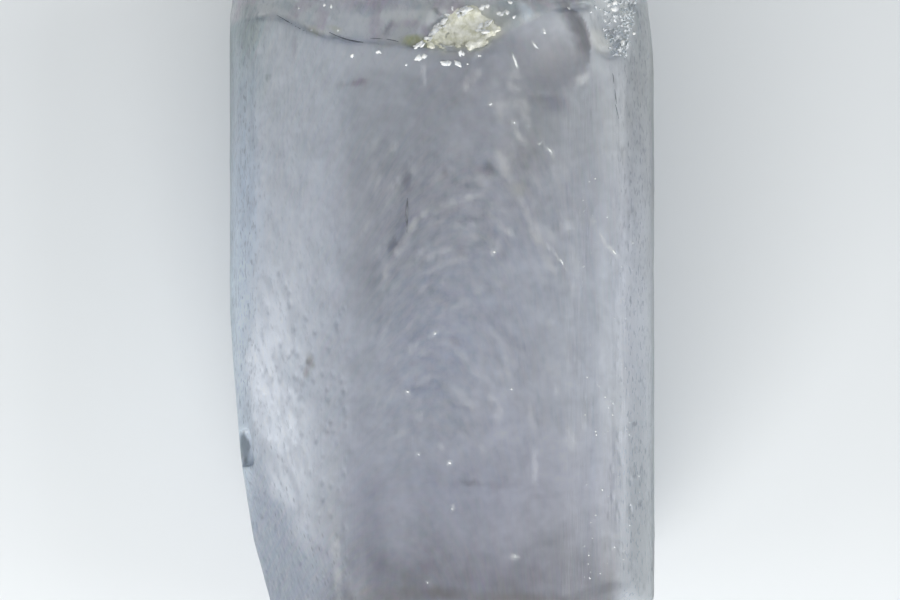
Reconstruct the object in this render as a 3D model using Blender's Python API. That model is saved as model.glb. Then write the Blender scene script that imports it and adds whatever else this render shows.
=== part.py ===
"""One stout prism of sillimanite, lying on a prism face.

Blender 4.5 script, metres, +Z up. The crystal's long axis (its c axis) runs along Y, the face it rests on is
in the plane Z = 0, and the origin is under the middle of its bounding box.

The body is a long block cut down by planes: the prism faces all round, the oblique faces of the worn end at -Y.
The end at +Y is a fracture: a ledge steps down from the upper face and the crystal then breaks off in splinters.
Growth steps, etch pits drawn out along c, a notch and chips are cut into it as well.
"""

import math
import random

import bmesh
import bpy
from mathutils import Euler, Matrix, Vector, noise

MM = 0.001

# Driving dimensions
WIDTH = 7.5 * MM
LENGTH = 12.3 * MM
HEIGHT = 5.8 * MM
AXIS_Z = HEIGHT / 2  # height of the prism axis above the face it rests on
SPARE = 2.0 * MM  # how far a block or a cutter runs past what it meets
SEED = 11

# Prism faces: (angle of the outward normal from +X towards +Z in degrees, distance from the prism axis)
PRISM_FACES = (
    (0.0, WIDTH / 2),  # right side
    (14.0, 3.943 * MM),  # narrow striated strips, upper right
    (36.0, 4.005 * MM),
    (57.0, 3.695 * MM),
    (74.0, 3.246 * MM),  # right part of the upper face
    (83.0, 3.013 * MM),
    (94.0, 2.816 * MM),  # middle of the upper face
    (104.0, 2.896 * MM),
    (121.0, 3.067 * MM),  # broad left flank
    (145.0, 3.619 * MM),  # narrow strips, upper left
    (166.0, 3.763 * MM),
    (180.0, WIDTH / 2),  # left side
    (203.0, 3.86 * MM),  # narrow strip, lower left
    (228.0, 3.70 * MM),  # lower left
    (270.0, HEIGHT / 2),  # the face it rests on
    (311.0, 3.62 * MM),  # lower right
    (338.0, 3.83 * MM),  # narrow strip, lower right
)

# Oblique faces: (outward normal, distance from the middle of the prism axis)
OBLIQUE_FACES = (
    ((-0.9969, -0.0788, 0.0), 3.754 * MM),  # the left side starts to draw in
    ((-0.9889, -0.1488, 0.0), 3.918 * MM),  # further on
    ((-0.9666, -0.2562, 0.0), 4.295 * MM),  # and near the worn end
    ((-0.755, -0.288, 0.590), 4.19 * MM),  # corner face, upper left, towards the worn end
    ((-0.84, -0.36, -0.41), 4.72 * MM),  # corner face, lower left
    ((0.9934, 0.115, 0.0), 4.21 * MM),  # the right side draws in at the fracture
)

# Faces of the worn end at -Y: (angle round c from +X towards +Z, tilt from -Y, both in degrees, bite)
# where the bite is how far in from the prism's surface the face meets the plane of the end.
WORN_END_FACES = (
    (84.0, 43.0, 0.82 * MM),
    (58.0, 50.0, 0.60 * MM),
    (118.0, 47.0, 0.78 * MM),
    (150.0, 52.0, 0.92 * MM),
    (192.0, 50.0, 1.25 * MM),
    (230.0, 46.0, 1.05 * MM),
    (268.0, 52.0, 0.80 * MM),
    (305.0, 47.0, 1.00 * MM),
    (340.0, 52.0, 0.56 * MM),
    (22.0, 54.0, 0.44 * MM),
    (100.0, 17.0, 2.30 * MM),
    (205.0, 14.0, 3.10 * MM),
    (320.0, 16.0, 2.60 * MM),
    (25.0, 19.0, 2.40 * MM),
)

# The ledge where the upper face breaks down towards the fracture: points (x, y) of its edge, from left to right
LEDGE_EDGE = (
    (-3.90 * MM, 4.88 * MM),
    (-2.95 * MM, 5.02 * MM),
    (-2.00 * MM, 4.62 * MM),
    (-0.30 * MM, 4.42 * MM),
    (0.55 * MM, 4.40 * MM),
    (1.15 * MM, 4.66 * MM),
    (2.10 * MM, 5.12 * MM),
    (3.90 * MM, 5.22 * MM),
)
LEDGE_STEP = 0.07 * MM  # height of the riser at the edge
LEDGE_RISER = 0.05 * MM  # how far the riser leans back
LEDGE_WANDER = 0.08 * MM  # how far the edge wanders from the line through its points
LEDGE_SLOPE = 0.26  # fall of the surface beyond the edge, per length
LEDGE_GRID = 0.25 * MM

# The fracture that ends the crystal at +Y
FRACTURE_DEPTH = 0.85 * MM  # roughly from its furthest splinter to its deepest step
FRACTURE_GRID = 0.36 * MM
SPLINTER_SIZE = 1.45 * MM

# Scoops taken out of the surface: (name, centre, radii, rotation in degrees, ripple)
SCOOPS = (
    ("thumbnail_chip", (1.50, 4.42, 6.12), (1.16, 0.90, 0.62), (0, 27, -12), 0.03),
    ("stained_hollow", (0.28, 4.84, 5.74), (0.80, 0.42, 0.40), (0, 0, 10), 0.08),
    ("granular_patch", (3.08, 4.90, 5.52), (0.52, 0.72, 0.42), (0, 40, -6), 0.12),
    ("worn_dent", (1.35, -6.95, 3.90), (2.30, 1.35, 1.90), (0, 0, 8), 0.02),
    ("edge_chip", (2.42, 2.10, -0.16), (0.80, 1.25, 0.46), (0, 42, 4), 0.01),
    ("side_chip", (-4.25, 3.10, 2.55), (0.70, 1.45, 1.00), (0, 0, 3), 0.01),
)

# A small rectangular step in the left edge
NOTCH_CENTRE = Vector((-3.56, -2.62, 4.62)) * MM
NOTCH_SIZE = Vector((0.34, 0.60, 1.20)) * MM
NOTCH_TURN = Euler((math.radians(2), math.radians(-14), math.radians(7)))

# Etch pits drawn out along c: (angle of the prism face, count, span of y, length, width)
PIT_GROUPS = (
    (121.0, 34, (-4.4 * MM, 2.4 * MM), 0.42 * MM, 0.11 * MM),
    (145.0, 8, (-1.8 * MM, 4.4 * MM), 0.50 * MM, 0.10 * MM),
    (166.0, 6, (-0.6 * MM, 4.4 * MM), 0.60 * MM, 0.12 * MM),
    (57.0, 8, (-4.6 * MM, 4.0 * MM), 0.50 * MM, 0.11 * MM),
    (36.0, 10, (-4.6 * MM, 4.2 * MM), 0.60 * MM, 0.11 * MM),
    (14.0, 8, (-4.6 * MM, 4.4 * MM), 0.60 * MM, 0.12 * MM),
    (0.0, 12, (-4.6 * MM, 4.4 * MM), 0.80 * MM, 0.16 * MM),
    (180.0, 10, (0.2 * MM, 4.8 * MM), 0.80 * MM, 0.16 * MM),
    (228.0, 8, (-3.6 * MM, 4.8 * MM), 0.75 * MM, 0.16 * MM),
    (311.0, 8, (-4.2 * MM, 4.6 * MM), 0.75 * MM, 0.16 * MM),
)
PIT_DEPTH = 0.38  # of the pit's width
PIT_LEAN = 9.0  # most that a pit turns away from c, in degrees

# Growth steps, each a wedge missing from a prism face, deepest at one corner and fading out from there:
# (angle of the prism face, place of the corner across it from -1 to 1, its y, width, length, depth)
# where a negative width fades towards the left as seen from outside, and a negative length towards -Y.
GROWTH_STEPS = (
    (57.0, 0.70, -4.4 * MM, -0.55 * MM, 5.8 * MM, 0.030 * MM),
    (36.0, -0.40, 4.3 * MM, 0.50 * MM, -6.4 * MM, 0.030 * MM),
    (0.0, 0.55, -4.3 * MM, -1.30 * MM, 7.5 * MM, 0.110 * MM),
    (0.0, -0.20, 4.4 * MM, -0.90 * MM, -6.0 * MM, 0.090 * MM),
    (180.0, 0.40, 4.7 * MM, -0.90 * MM, -5.6 * MM, 0.100 * MM),
    (228.0, 0.25, -3.4 * MM, -1.10 * MM, 7.2 * MM, 0.110 * MM),
    (228.0, -0.50, 4.6 * MM, 0.60 * MM, -5.0 * MM, 0.070 * MM),
    (311.0, 0.30, 4.2 * MM, -1.20 * MM, -7.4 * MM, 0.110 * MM),
    (338.0, -0.10, -4.4 * MM, 0.70 * MM, 5.2 * MM, 0.080 * MM),
)

CRYSTAL_COLOUR = (0.40, 0.42, 0.50, 1.0)


def clear_scene():
    for obj in list(bpy.data.objects):
        bpy.data.objects.remove(obj)


def new_collection(name):
    collection = bpy.data.collections.new(name)
    bpy.context.scene.collection.children.link(collection)
    return collection


def object_from(bm, name, collection):
    """An object in the collection from a closed bmesh, which is turned right side out and freed."""
    bmesh.ops.recalc_face_normals(bm, faces=bm.faces)
    if bm.calc_volume(signed=True) < 0:
        bmesh.ops.reverse_faces(bm, faces=bm.faces)
    mesh = bpy.data.meshes.new(name)
    bm.to_mesh(mesh)
    bm.free()
    obj = bpy.data.objects.new(name, mesh)
    collection.objects.link(obj)
    return obj


def prism_normal(angle):
    turn = math.radians(angle)
    return Vector((math.cos(turn), 0.0, math.sin(turn)))


def upper_surface(x):
    """Height of the prism's upper surface at x, from the faces that look up."""
    heights = []
    for angle, distance in PRISM_FACES:
        normal = prism_normal(angle)
        if normal.z > 0.1:
            heights.append(AXIS_Z + (distance - x * normal.x) / normal.z)
    return min(heights)


def prism_reach(angle):
    """How far the prism's surface is from its axis in the direction of the angle."""
    direction = prism_normal(angle)
    reaches = []
    for face_angle, distance in PRISM_FACES:
        towards = direction.dot(prism_normal(face_angle))
        if towards > 0.1:
            reaches.append(distance / towards)
    return min(reaches)


def worn_end_plane(angle, tilt, bite):
    """Outward normal and distance from the middle of the axis of one face of the worn end."""
    lean = math.radians(tilt)
    normal = prism_normal(angle) * math.sin(lean) + Vector((0.0, -math.cos(lean), 0.0))
    distance = math.sin(lean) * (prism_reach(angle) - bite) + math.cos(lean) * LENGTH / 2
    return normal, distance


def cut_by_plane(bm, normal, distance):
    """Removes what lies beyond the plane and closes the cut."""
    middle = Vector((0.0, 0.0, AXIS_Z))
    normal = Vector(normal).normalized()
    geometry = bm.verts[:] + bm.edges[:] + bm.faces[:]
    cut = bmesh.ops.bisect_plane(
        bm,
        geom=geometry,
        dist=1e-7,
        plane_co=middle + normal * distance,
        plane_no=normal,
        clear_outer=True,
    )
    rim = [item for item in cut["geom_cut"] if isinstance(item, bmesh.types.BMEdge)]
    if rim:
        bmesh.ops.contextual_create(bm, geom=rim)


def make_prism(collection):
    """The crystal's faceted body, still whole at +Y."""
    bm = bmesh.new()
    block = Matrix.Diagonal((WIDTH + SPARE, LENGTH, HEIGHT + SPARE, 1.0))
    bmesh.ops.create_cube(bm, size=1.0, matrix=Matrix.Translation((0, 0, AXIS_Z)) @ block)
    for angle, distance in PRISM_FACES:
        cut_by_plane(bm, prism_normal(angle), distance)
    for normal, distance in OBLIQUE_FACES:
        cut_by_plane(bm, normal, distance)
    for face in WORN_END_FACES:
        cut_by_plane(bm, *worn_end_plane(*face))
    return object_from(bm, "sillimanite_crystal", collection)


def hide_helper(obj):
    obj.hide_render = True
    obj.display_type = "WIRE"


def carve(crystal, cutter):
    """Takes the cutter out of the crystal."""
    hide_helper(cutter)
    cut = crystal.modifiers.new(cutter.name, "BOOLEAN")
    cut.operation = "DIFFERENCE"
    cut.solver = "EXACT"
    cut.object = cutter


def ledge_edge_y(x):
    """y of the ledge's edge at x, straight between the points of LEDGE_EDGE."""
    for (x0, y0), (x1, y1) in zip(LEDGE_EDGE, LEDGE_EDGE[1:]):
        if x <= x1:
            return y0 + (y1 - y0) * (x - x0) / (x1 - x0)
    return LEDGE_EDGE[-1][1]


def ledge_depth(x, beyond):
    """How far the broken surface lies below the upper face, at x and a distance beyond the ledge's edge."""
    spot = Vector((x, beyond, 0.0))
    ripple = noise.noise(spot / (0.8 * MM)) * 0.07 * MM
    ridge = abs(noise.noise(spot / (1.7 * MM) + Vector((5.0, 0.0, 0.0)))) * 0.16 * MM
    return LEDGE_STEP + LEDGE_SLOPE * beyond + (ripple + ridge) * min(1.0, beyond / LEDGE_GRID)


def make_ledge_cutter(collection):
    """What broke away above the ledge: a block whose underside is the broken surface."""
    half = WIDTH / 2 + SPARE / 4
    span = LENGTH / 2 + SPARE / 2 - min(y for _, y in LEDGE_EDGE)
    columns = round(2 * half / LEDGE_GRID)
    rows = round(span / LEDGE_GRID)
    place = Matrix.Translation((0, span / 2, 0)) @ Matrix.Diagonal((half, span / 2, 1, 1))
    bm = bmesh.new()
    bmesh.ops.create_grid(bm, x_segments=columns, y_segments=rows, size=1.0, matrix=place)
    under = bm.verts[:]
    extruded = bmesh.ops.extrude_face_region(bm, geom=bm.faces[:])
    roof = [item for item in extruded["geom"] if isinstance(item, bmesh.types.BMVert)]
    for vert in roof:
        vert.co.z = HEIGHT + SPARE
    for vert in under:
        x, beyond = vert.co.x, vert.co.y
        if beyond < LEDGE_GRID / 2:
            vert.co.z = upper_surface(x) + SPARE / 4
            vert.co.y = -LEDGE_RISER * SPARE / 4 / LEDGE_STEP
        else:
            beyond -= span / rows
            vert.co.z = upper_surface(x) - ledge_depth(x, beyond)
            vert.co.y = beyond
    for vert in bm.verts:
        wander = noise.noise(Vector((vert.co.x / (0.45 * MM), SEED, 0.0))) * LEDGE_WANDER
        vert.co.y += ledge_edge_y(vert.co.x) + wander
    flat = [face for face in bm.faces if face.calc_center_median().z > HEIGHT + SPARE * 0.9]
    bmesh.ops.dissolve_faces(bm, faces=flat)
    return object_from(bm, "ledge_cutter", collection)


def splinter_depth(x, z):
    """Depth of the fracture at a point: tilted splinters, each a flat cell, stepping down from cell to cell."""
    place = Vector((x + 0.25 * z, z, 0)) / SPLINTER_SIZE
    cell = noise.voronoi(place, distance_metric="DISTANCE", exponent=2.5)[1][0]
    level = noise.cell(cell * 7.3 + Vector((SEED, 0, 0)))
    tilt = (place - cell).dot(noise.cell_vector(cell * 5.1)) * 0.42
    grain = noise.noise(place * 3.0) * 0.05
    lean = (0.18 * x - 0.22 * (z - AXIS_Z)) / WIDTH
    return (0.30 * level + tilt + grain + lean) * FRACTURE_DEPTH


def make_fracture_cutter(collection):
    """What broke off beyond the crystal's end: a block whose near side is the splintered fracture."""
    half_x = WIDTH / 2 + SPARE / 4
    half_z = HEIGHT / 2 + SPARE / 4
    columns = round(2 * half_x / FRACTURE_GRID)
    rows = round(2 * half_z / FRACTURE_GRID)
    upright = Matrix.Rotation(math.radians(90), 4, "X")
    place = Matrix.Translation((0, 0, AXIS_Z)) @ upright @ Matrix.Diagonal((half_x, half_z, 1, 1))
    bm = bmesh.new()
    bmesh.ops.create_grid(bm, x_segments=columns, y_segments=rows, size=1.0, matrix=place)
    near = bm.verts[:]
    extruded = bmesh.ops.extrude_face_region(bm, geom=bm.faces[:])
    far = [item for item in extruded["geom"] if isinstance(item, bmesh.types.BMVert)]
    inside = [v for v in near if abs(v.co.x) < 0.8 * WIDTH / 2 and abs(v.co.z - AXIS_Z) < 0.6 * HEIGHT / 2]
    least = min(splinter_depth(v.co.x, v.co.z) for v in inside)
    for vert in far:
        vert.co.y = LENGTH / 2 + SPARE
    for vert in near:
        depth = splinter_depth(vert.co.x, vert.co.z) - least
        vert.co.y = LENGTH / 2 - max(depth, 0.0)
    flat = [face for face in bm.faces if face.calc_center_median().y > LENGTH / 2 + SPARE * 0.9]
    bmesh.ops.dissolve_faces(bm, faces=flat)
    return object_from(bm, "fracture_cutter", collection)


def make_scoop_cutter(collection, name, centre, radii, turn, ripple):
    """An ellipsoid with shallow ripples round it, as in a conchoidal chip."""
    bm = bmesh.new()
    bmesh.ops.create_icosphere(bm, subdivisions=3, radius=1.0)
    for vert in bm.verts:
        ring = math.sin(9.0 * math.acos(max(-1.0, min(1.0, vert.co.z))))
        bump = noise.noise(vert.co * 3.0 + Vector((len(name), 0, 0)))
        vert.co *= 1.0 + ripple * (0.4 * ring + bump)
    spin = Euler([math.radians(angle) for angle in turn]).to_matrix().to_4x4()
    shape = Matrix.Diagonal((*(radius * MM for radius in radii), 1.0))
    bm.transform(Matrix.Translation(Vector(centre) * MM) @ spin @ shape)
    return object_from(bm, name, collection)


def make_notch_cutter(collection):
    bm = bmesh.new()
    bmesh.ops.create_cube(bm, size=1.0)
    bm.transform(
        Matrix.Translation(NOTCH_CENTRE)
        @ NOTCH_TURN.to_matrix().to_4x4()
        @ Matrix.Diagonal((*NOTCH_SIZE, 1.0))
    )
    return object_from(bm, "notch_cutter", collection)


def face_frame(angle):
    """Middle, half width and directions of the prism face at that angle, from where its neighbours cut it."""
    angles = [face_angle for face_angle, _ in PRISM_FACES]
    index = angles.index(angle)
    distance = PRISM_FACES[index][1]
    normal = prism_normal(angle)
    across = Vector((normal.z, 0.0, -normal.x))
    ends = []
    for neighbour in (index - 1, (index + 1) % len(PRISM_FACES)):
        other_angle, other_distance = PRISM_FACES[neighbour]
        other = prism_normal(other_angle)
        ends.append((other_distance - distance * normal.dot(other)) / across.dot(other))
    middle = Vector((0.0, 0.0, AXIS_Z)) + normal * distance + across * (ends[0] + ends[1]) / 2
    return middle, abs(ends[1] - ends[0]) / 2, normal, across


def on_face(spot, normal, across, lean):
    """A frame at a point of a prism face: x across the face, y along c, z outwards, turned by lean."""
    axes = Matrix((across, Vector((0.0, 1.0, 0.0)), normal)).transposed().to_4x4()
    return Matrix.Translation(spot) @ Matrix.Rotation(math.radians(lean), 4, normal) @ axes


def make_pit_cutter(collection):
    """All the etch pits in one mesh, none touching another: four-sided points that look inwards."""
    draw = random.Random(SEED)
    bm = bmesh.new()
    placed = []
    for angle, count, (y_from, y_to), mean_length, mean_width in PIT_GROUPS:
        middle, half, normal, across = face_frame(angle)
        made = 0
        while made < count:
            length = mean_length * draw.uniform(0.6, 1.4)
            width = mean_width * draw.uniform(0.75, 1.25)
            spot = middle + across * half * draw.uniform(-0.8, 0.8)
            spot.y = draw.uniform(y_from, y_to)
            lean = draw.uniform(-PIT_LEAN, PIT_LEAN)
            if all((spot - other).length > (length + reach) * 0.56 for other, reach in placed):
                depth = width * PIT_DEPTH
                point = bmesh.ops.create_cone(
                    bm, cap_ends=True, segments=4, radius1=1.0, radius2=0.0, depth=2.0
                )["verts"]
                size = Matrix.Diagonal((width, length, -depth, 1.0))
                bmesh.ops.transform(bm, verts=point, matrix=on_face(spot, normal, across, lean) @ size)
                placed.append((spot, length))
                made += 1
    bmesh.ops.remove_doubles(bm, verts=bm.verts, dist=1e-7)
    return object_from(bm, "pit_cutter", collection)


def make_step_cutter(collection, number, step):
    """A block whose underside is tilted, so that it takes a wedge out of a prism face."""
    angle, place, y, width, length, depth = step
    middle, half, normal, across = face_frame(angle)
    corner = middle + across * half * place
    corner.y = y
    bm = bmesh.new()
    bmesh.ops.create_cube(bm, size=1.0, matrix=Matrix.Translation((0.5, 0.5, 0.5)))
    bm.transform(Matrix.Diagonal((width * 1.3, length * 1.3, SPARE, 1.0)))
    for vert in bm.verts:
        vert.co.z += depth * (abs(vert.co.x / width) + abs(vert.co.y / length) - 1.0)
    bm.transform(on_face(corner, normal, across, 0.0))
    return object_from(bm, f"step_cutter_{number}", collection)


def crystal_material():
    material = bpy.data.materials.new("sillimanite")
    material.use_nodes = True
    shader = material.node_tree.nodes["Principled BSDF"]
    shader.inputs["Base Color"].default_value = CRYSTAL_COLOUR
    shader.inputs["Roughness"].default_value = 0.25
    shader.inputs["Metallic"].default_value = 0.0
    shader.inputs["IOR"].default_value = 1.66
    shader.inputs["Transmission Weight"].default_value = 0.8
    return material


def main():
    clear_scene()
    parts = new_collection("sillimanite_specimen")
    cutters = new_collection("cutters")
    crystal = make_prism(parts)
    crystal.data.materials.append(crystal_material())
    for number, step in enumerate(GROWTH_STEPS, start=1):
        carve(crystal, make_step_cutter(cutters, number, step))
    carve(crystal, make_pit_cutter(cutters))
    carve(crystal, make_notch_cutter(cutters))
    carve(crystal, make_ledge_cutter(cutters))
    for scoop in SCOOPS:
        carve(crystal, make_scoop_cutter(cutters, *scoop))
    carve(crystal, make_fracture_cutter(cutters))


main()
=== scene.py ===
import math
import random

import bpy
import numpy as np
from mathutils import Euler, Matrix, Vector
from mathutils import noise as softNoise


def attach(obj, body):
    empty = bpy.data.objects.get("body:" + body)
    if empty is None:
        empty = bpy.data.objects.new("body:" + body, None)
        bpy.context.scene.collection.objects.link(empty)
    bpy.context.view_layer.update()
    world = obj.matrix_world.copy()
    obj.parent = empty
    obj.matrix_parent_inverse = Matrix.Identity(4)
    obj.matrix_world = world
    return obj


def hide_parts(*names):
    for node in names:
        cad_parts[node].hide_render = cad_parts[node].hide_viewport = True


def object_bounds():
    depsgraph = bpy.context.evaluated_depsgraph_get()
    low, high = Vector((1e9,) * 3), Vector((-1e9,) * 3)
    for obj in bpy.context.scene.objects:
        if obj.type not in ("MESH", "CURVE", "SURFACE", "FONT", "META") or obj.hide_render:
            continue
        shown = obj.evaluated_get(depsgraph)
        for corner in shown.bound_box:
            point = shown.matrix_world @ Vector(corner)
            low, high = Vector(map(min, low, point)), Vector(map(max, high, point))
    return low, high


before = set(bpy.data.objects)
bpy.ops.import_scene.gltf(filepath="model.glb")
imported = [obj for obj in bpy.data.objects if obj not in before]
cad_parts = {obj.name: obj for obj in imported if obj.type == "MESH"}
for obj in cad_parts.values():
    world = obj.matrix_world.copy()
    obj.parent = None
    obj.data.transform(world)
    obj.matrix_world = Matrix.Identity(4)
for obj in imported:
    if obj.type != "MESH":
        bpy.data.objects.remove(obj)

# Lengths are in millimetres: X across the crystal, Y along it, Z up from the face it rests on.
# Pieces are modelled at that size and brought down to metres when they are finished.
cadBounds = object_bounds()
millimetre = 0.001
node = "sillimanite_crystal"


def deselectEverything():
    if bpy.context.object and bpy.context.object.mode != "OBJECT":
        bpy.ops.object.mode_set(mode="OBJECT")
    bpy.ops.object.select_all(action="DESELECT")


def pick(piece):
    deselectEverything()
    piece.select_set(True)
    bpy.context.view_layer.objects.active = piece


def finishModifier(piece, kind, **settings):
    pick(piece)
    modifier = piece.modifiers.new(kind.title(), kind)
    for name, value in settings.items():
        setattr(modifier, name, value)
    bpy.ops.object.modifier_apply(modifier=modifier.name)


def applyPlace(piece):
    pick(piece)
    bpy.ops.object.transform_apply(location=True, rotation=True, scale=True)


def resizeMesh(piece, factor):
    piece.scale = (factor, factor, factor)
    applyPlace(piece)


def joinPieces(pieces, name):
    deselectEverything()
    for piece in pieces:
        piece.select_set(True)
    bpy.context.view_layer.objects.active = pieces[0]
    bpy.ops.object.transform_apply(location=True, rotation=True, scale=True)
    bpy.ops.object.join()
    pieces[0].name = name
    return pieces[0]


def copyPiece(piece):
    twin = piece.copy()
    twin.data = piece.data.copy()
    bpy.context.scene.collection.objects.link(twin)
    return twin


def ownMaterial(piece, material):
    piece.data.materials.clear()
    piece.data.materials.append(material)


# brings a piece down to metres, and says what it rides on and takes its finish from
def finishPiece(piece, material):
    resizeMesh(piece, millimetre)
    ownMaterial(piece, material)
    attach(piece, "root")
    print(piece.name + ":", len(piece.data.polygons), "faces")


# a shader node: its inputs are values or the sockets that lead into it
def addNode(tree, kind, inputs=None, **settings):
    made = tree.nodes.new("ShaderNode" + kind)
    for name, value in settings.items():
        setattr(made, name, value)
    for name, value in (inputs or {}).items():
        if isinstance(value, bpy.types.NodeSocket):
            tree.links.new(value, made.inputs[name])
        else:
            made.inputs[name].default_value = value
    return made


def maths(tree, operation, first, second):
    return addNode(tree, "Math", {0: first, 1: second}, operation=operation).outputs[0]


# 0 below low and 1 above high, or the other way round if low is above high
def rise(tree, value, low, high):
    start, end = (0.0, 1.0) if low < high else (1.0, 0.0)
    lower, upper = sorted((low, high))
    inputs = {"Value": value, "From Min": lower, "From Max": upper, "To Min": start, "To Max": end}
    return addNode(tree, "MapRange", inputs, interpolation_type="SMOOTHSTEP").outputs["Result"]


def times(tree, *values):
    product = values[0]
    for value in values[1:]:
        product = maths(tree, "MULTIPLY", product, value)
    return product


def blendColour(tree, share, first, second, kind="MIX"):
    made = addNode(tree, "Mix", data_type="RGBA", blend_type=kind)
    for index, value in ((0, share), (6, first), (7, second)):
        if isinstance(value, bpy.types.NodeSocket):
            tree.links.new(value, made.inputs[index])
        else:
            made.inputs[index].default_value = value
    return made.outputs[2]


# a linear colour from how it looks on a screen, each part from 0 to 255
def screenColour(red, green, blue):
    return (*((part / 255) ** 2.2 for part in (red, green, blue)), 1.0)


def objectPlace(tree):
    coordinates = addNode(tree, "TexCoord").outputs["Object"]
    return addNode(tree, "Mapping", {"Vector": coordinates, "Scale": (1000, 1000, 1000)}).outputs[0]


# coordinates stretched about a centre, so that an ellipsoid of those radii has its surface at 1
def insideOf(tree, place, centre, radii, turn=0.0):
    inputs = {"Vector": place, "Location": centre, "Rotation": (0, 0, math.radians(turn)), "Scale": radii}
    return addNode(tree, "Mapping", inputs, vector_type="TEXTURE").outputs[0]


# noise in cells of that size, each cell drawn out by the stretch and turned that many degrees
def noise(tree, place, size, detail, roughness=0.5, stretch=(1, 1, 1), turn=0.0):
    scaled = insideOf(tree, place, (0, 0, 0), tuple(size * part for part in stretch), turn)
    inputs = {"Vector": scaled, "Scale": 1.0, "Detail": detail, "Roughness": roughness}
    return addNode(tree, "TexNoise", inputs)


def axes(tree, place):
    parts = addNode(tree, "SeparateXYZ", {0: place})
    return parts.outputs[0], parts.outputs[1], parts.outputs[2]


view = {  # in metres
    "height": 0.150,  # from the level that the frame is measured at up to the camera
    "level": 0.8,  # that level, as a share of the crystal's height
    "frameWidth": 0.0158,  # what the picture is wide at that level
    "centreX": 0.000149,
    "sensor": 0.036,
    "clip": (0.01, 5.0),
}


def makeCamera():
    top = cadBounds[1][2]
    distance = view["height"]
    camera = bpy.data.cameras.new("camera")
    camera.sensor_width = view["sensor"] * 1000
    camera.lens = camera.sensor_width * distance / view["frameWidth"]
    camera.clip_start, camera.clip_end = view["clip"]
    holder = bpy.data.objects.new("camera", camera)
    holder.location = (view["centreX"], 0.0, top * view["level"] + distance)
    bpy.context.scene.collection.objects.link(holder)
    bpy.context.scene.camera = holder


ground = {
    "size": 0.6,
    "gap": 0.00002,  # keeps the floor clear of the face that the crystal rests on
    "colour": (0.78, 0.80, 0.81, 1),
    "roughness": 0.9,
}


def makeFloor():
    deselectEverything()
    bpy.ops.mesh.primitive_plane_add(size=ground["size"], location=(0.0, 0.0, -ground["gap"]))
    floor = bpy.context.object
    floor.name = "floor"
    material = bpy.data.materials.new("pale floor")
    material.use_nodes = True
    shader = material.node_tree.nodes["Principled BSDF"]
    shader.inputs["Base Color"].default_value = ground["colour"]
    shader.inputs["Roughness"].default_value = ground["roughness"]
    floor.data.materials.append(material)
    print("floor laid")


lamps = {  # place and size in millimetres, power in watts
    "low": {"place": (-4, -32, 22), "size": 24, "power": 0.0120, "colour": (1.0, 0.995, 0.98)},
    "left": {"place": (-62, -14, 32), "size": 46, "power": 0.011, "colour": (0.97, 0.99, 1.0)},
    "right": {"place": (80, 0, 60), "size": 60, "power": 0.034, "colour": (0.97, 0.99, 1.0)},
}
lampAim = (0.0, 0.0, 0.003)  # inside the crystal, in metres
sky = {"colour": (0.94, 0.97, 1.0, 1), "strength": 0.47}


def makeLight():
    world = bpy.data.worlds.new("studio")
    world.use_nodes = True
    world.node_tree.nodes["Background"].inputs["Color"].default_value = sky["colour"]
    world.node_tree.nodes["Background"].inputs["Strength"].default_value = sky["strength"]
    bpy.context.scene.world = world
    for name, lamp in lamps.items():
        light = bpy.data.lights.new(name, "AREA")
        light.size = lamp["size"] * millimetre
        light.energy = lamp["power"]
        light.color = lamp["colour"]
        holder = bpy.data.objects.new(name, light)
        holder.location = Vector(lamp["place"]) * millimetre
        aim = Vector(lampAim) - holder.location
        holder.rotation_euler = aim.to_track_quat("-Z", "Y").to_euler()
        holder.visible_camera = False
        bpy.context.scene.collection.objects.link(holder)


body = {
    "voxel": 0.045,
    "triangles": 190000,
    "ledge": (  # the points of the ledge's edge, from left to right
        (-3.90, 4.88), (-2.95, 5.02), (-2.00, 4.62), (-0.30, 4.42), (0.55, 4.40), (1.15, 4.66),
        (2.10, 5.12), (3.90, 5.22),
    ),
    "nick": (-3.47, -2.63, (0.4, 0.5)),  # the nick on the left edge isn't smoothed: x, y, radii
    "wear": 30,  # how often the edges along the crystal are smoothed
    "crease": {"x": -1.75, "reach": 0.75, "wear": 220},  # the soft edge left of the broad face
    "calm": {"x": (2.5, 2.9), "wear": 60},  # the right bevel, worn softer
    "foot": {"x": (1.6, 2.4), "y": (-4.3, -4.8), "z": (2.6, 3.4)},  # the lower right, worn as softly
    "dents": (  # what is pressed into the surface, in this order: zone, texture, stretch, depth, settings
        ("chip", "WOOD", (0.62, 0.62, 0.62), 0.004, {
            "place": (2.85, 4.20, 5.6), "wood_type": "RINGNOISE", "noise_scale": 0.6,
        }),
        ("chip", "CLOUDS", (0.20, 0.30, 0.20), 0.022, {"noise_depth": 2}),
        ("swell", "CLOUDS", (0.9, 2.2, 0.9), 0.030, {"noise_depth": 2}),
        ("striation", "CLOUDS", (0.13, 0.60, 0.13), 0.013, {"noise_depth": 1}),
        ("pit", "VORONOI", (0.11, 0.30, 0.11), 0.040, {"middle": 1.0, "ramp": (0.0, 0.30), "turn": 0.16}),
        ("fracture", "VORONOI", (0.42, 0.42, 0.28), 0.09, {"middle": 1.0}),
        # cleavage steps on the broken end
        ("splinters", "WOOD", (1.5, 9.0, 2.6), 0.13, {
            "wood_type": "BANDNOISE", "noise_basis_2": "SAW", "turbulence": 11.0,
        }),
    ),
}

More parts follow.
